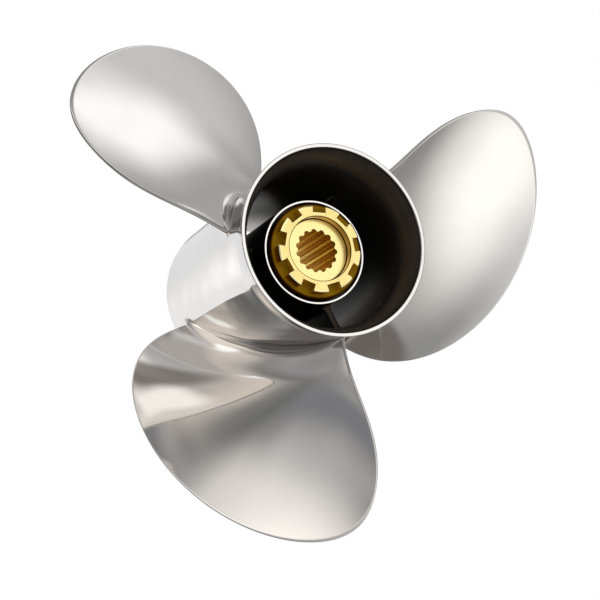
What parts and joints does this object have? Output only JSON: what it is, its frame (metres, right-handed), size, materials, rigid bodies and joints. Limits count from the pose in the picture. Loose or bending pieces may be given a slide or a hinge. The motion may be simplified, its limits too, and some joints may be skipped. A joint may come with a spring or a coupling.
{
  "type": "boat propeller",
  "caption": "Right-hand boat propeller for an outboard, polished stainless, with exhaust through the hub and a splined brass drive sleeve in a rubber bushing.",
  "frame": {"origin": "on the shaft axis, at the centre of the forward face of the barrel, on which the propeller stands", "axes": "+Z along the shaft axis, pointing aft; +X through the radial line under the tip of the first blade; the blades turn clockwise seen from aft"},
  "size_m": [0.2946, 0.3078, 0.1516],
  "materials": {
    "polished_stainless": "polished stainless casting",
    "shaded_stainless": "dull as-cast stainless inside the hub",
    "brass": "machined",
    "dark_brass": "dulled, olive",
    "rubber": "moulded"
  },
  "bodies": {
    "root": {"barrel": "polished_stainless", "inner_hub": "shaded_stainless", "rib_1": "shaded_stainless", "rib_2": "shaded_stainless", "rib_3": "shaded_stainless", "blade_1": "polished_stainless", "blade_2": "polished_stainless", "blade_3": "polished_stainless", "drive_sleeve": "brass", "sleeve_flange": "dark_brass", "rubber_bushing": "rubber"}
  },
  "joints": []
}
